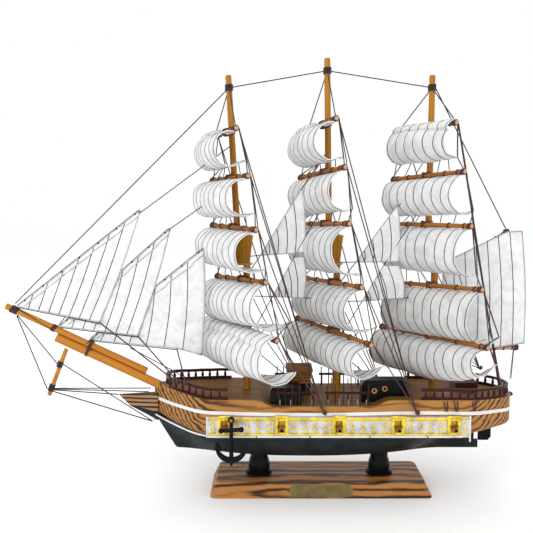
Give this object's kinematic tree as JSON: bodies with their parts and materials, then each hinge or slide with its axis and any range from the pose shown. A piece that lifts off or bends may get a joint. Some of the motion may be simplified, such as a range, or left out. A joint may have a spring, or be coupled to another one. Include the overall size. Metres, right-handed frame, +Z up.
{
  "type": "model sailing ship",
  "caption": "Decorative model of a square-rigged sailing ship with cloth sails, thread rigging, deck fittings and guns, standing on turned posts over a varnished base board.",
  "frame": {"origin": "The middle of the base board's flat bottom face, on the plane through keel and masts.", "axes": "+Z up, -X to the bow, +X to the stern, -Y to port and +Y to starboard."},
  "size_m": [0.5106, 0.1532, 0.42],
  "materials": {
    "stand_wood": "high gloss varnish",
    "plate_brass": "satin",
    "black_paint": "gloss paint",
    "hull_wood": "satin varnish over burnt grain",
    "deck_wood": "satin",
    "white_trim": "gloss",
    "gold_foil": "metallised",
    "cannon_brass": "gloss",
    "rail_wood": "satin stain",
    "mast_wood": "satin varnish",
    "spar_wood": "satin varnish",
    "nest_wood": "satin varnish",
    "sail_cloth": "matt, stiffened",
    "black_thread": "matt",
    "brown_thread": "matt",
    "copper": "satin",
    "steel": "bright",
    "anchor_black": "satin"
  },
  "bodies": {
    "root": {"base_board": "stand_wood", "name_plate": "plate_brass", "bow_stand_post": "black_paint", "stern_stand_post": "black_paint", "stand_screws": "steel", "lower_hull": "black_paint", "upper_hull": "hull_wood", "deck_planking": "deck_wood", "beakhead": "hull_wood", "gun_strips": "gold_foil", "cannons": "cannon_brass", "sheer_stripe": "white_trim", "bow_rail": "rail_wood", "stern_rail": "rail_wood", "bowsprit": "spar_wood", "jib_boom": "spar_wood", "dolphin_striker": "spar_wood", "deck_house": "deck_wood", "deck_cabin": "black_paint", "long_cabin": "black_paint", "portholes": "copper", "stern_hatch": "rail_wood", "deck_pins": "steel", "anchor_hooks": "copper", "crows_nests": "nest_wood", "staysails": "sail_cloth", "flying_jib": "sail_cloth", "outer_jib": "sail_cloth", "inner_jib": "sail_cloth", "stays": "black_thread", "backstays": "brown_thread", "fore_mast": "mast_wood", "main_mast": "mast_wood", "mizzen_mast": "mast_wood"},
    "fore_yard_set": {"fore_yards": "spar_wood", "fore_yard_lines": "brown_thread", "fore_royal": "sail_cloth", "fore_topgallant": "sail_cloth", "fore_upper_topsail": "sail_cloth", "fore_lower_topsail": "sail_cloth", "fore_course": "sail_cloth"},
    "main_yard_set": {"main_yards": "spar_wood", "main_yard_lines": "brown_thread", "main_royal": "sail_cloth", "main_topgallant": "sail_cloth", "main_upper_topsail": "sail_cloth", "main_lower_topsail": "sail_cloth", "main_course": "sail_cloth"},
    "mizzen_yard_set": {"mizzen_yards": "spar_wood", "mizzen_yard_lines": "brown_thread", "mizzen_royal": "sail_cloth", "mizzen_topgallant": "sail_cloth", "mizzen_upper_topsail": "sail_cloth", "mizzen_lower_topsail": "sail_cloth", "mizzen_course": "sail_cloth"},
    "spanker_set": {"spanker": "sail_cloth", "spanker_spars": "spar_wood"},
    "rudder": {"rudder": "black_paint"},
    "port_anchor": {"port_anchor": "anchor_black"},
    "starboard_anchor": {"starboard_anchor": "anchor_black"}
  },
  "joints": [
    {"name": "fore_yard_swing", "type": "hinge", "parent": "root", "child": "fore_yard_set", "pos_m": [-0.0794, 0, 0.226], "axis": [-0.055, 0, 0.9985], "range_deg": [-8, 8], "deforming": ["stays"]},
    {"name": "main_yard_swing", "type": "hinge", "parent": "root", "child": "main_yard_set", "pos_m": [0.0086, 0, 0.226], "axis": [-0.0165, 0, 0.9999], "range_deg": [-8, 8], "deforming": ["backstays"]},
    {"name": "mizzen_yard_swing", "type": "hinge", "parent": "root", "child": "mizzen_yard_set", "pos_m": [0.1049, 0, 0.226], "axis": [0.0073, 0, 1], "range_deg": [-8, 8]},
    {"name": "spanker_swing", "type": "hinge", "parent": "root", "child": "spanker_set", "pos_m": [0.112, 0, 0.14], "axis": [0, 0, 1], "range_deg": [-12, 12]},
    {"name": "rudder_turn", "type": "hinge", "parent": "root", "child": "rudder", "pos_m": [0.1603, 0, 0.0565], "axis": [0, 0, 1], "range_deg": [-30, 30]},
    {"name": "port_anchor_swing", "type": "hinge", "parent": "root", "child": "port_anchor", "pos_m": [-0.085, -0.0585, 0.084], "axis": [0, 1, 0], "range_deg": [-70, 70]},
    {"name": "starboard_anchor_swing", "type": "hinge", "parent": "root", "child": "starboard_anchor", "pos_m": [-0.085, 0.0585, 0.084], "axis": [0, 1, 0], "range_deg": [-70, 70]}
  ]
}
